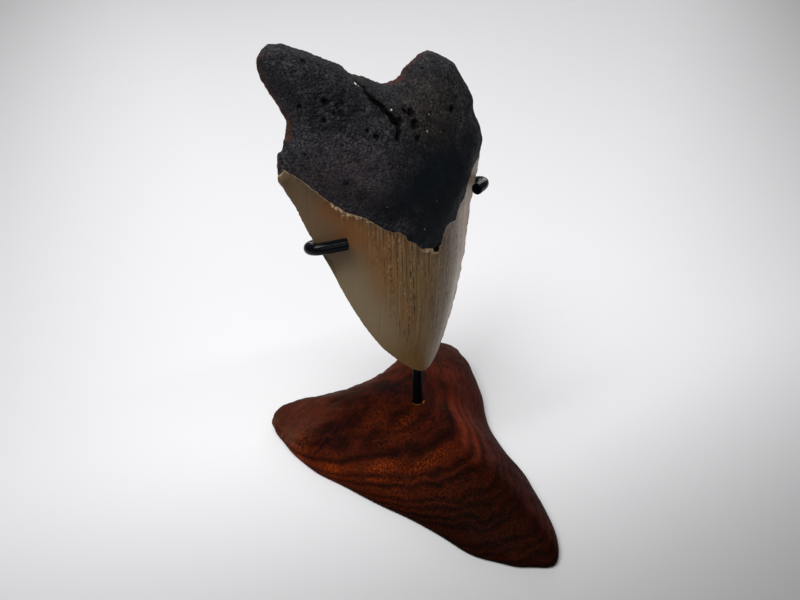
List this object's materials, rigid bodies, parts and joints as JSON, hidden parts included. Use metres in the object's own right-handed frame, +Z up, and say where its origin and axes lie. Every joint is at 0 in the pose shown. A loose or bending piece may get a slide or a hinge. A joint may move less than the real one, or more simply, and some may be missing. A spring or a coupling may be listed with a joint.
{
  "type": "fossil shark tooth on stand",
  "caption": "Large fossil shark tooth with a dark porous root and tan enamel, held point down by a black rod stand on a carved wooden base.",
  "frame": {"origin": "on the flat underside of the base, straight below the foot of the post", "axes": "+Z up, out of the top of the base; the tooth's front and the base's point face -Y; +X to the right as seen from the front"},
  "size_m": [0.0969, 0.1316, 0.1673],
  "materials": {
    "fossil": "matt pitted dark root, polished enamel",
    "hardwood": "satin oiled red-brown hardwood",
    "black_rod": "semi-gloss black",
    "black_sleeve": "glossy black"
  },
  "bodies": {
    "root": {"tooth": "fossil", "base": "hardwood", "post": "black_rod", "cross_arm": "black_rod", "left_sleeve": "black_sleeve", "right_sleeve": "black_sleeve"}
  },
  "joints": []
}
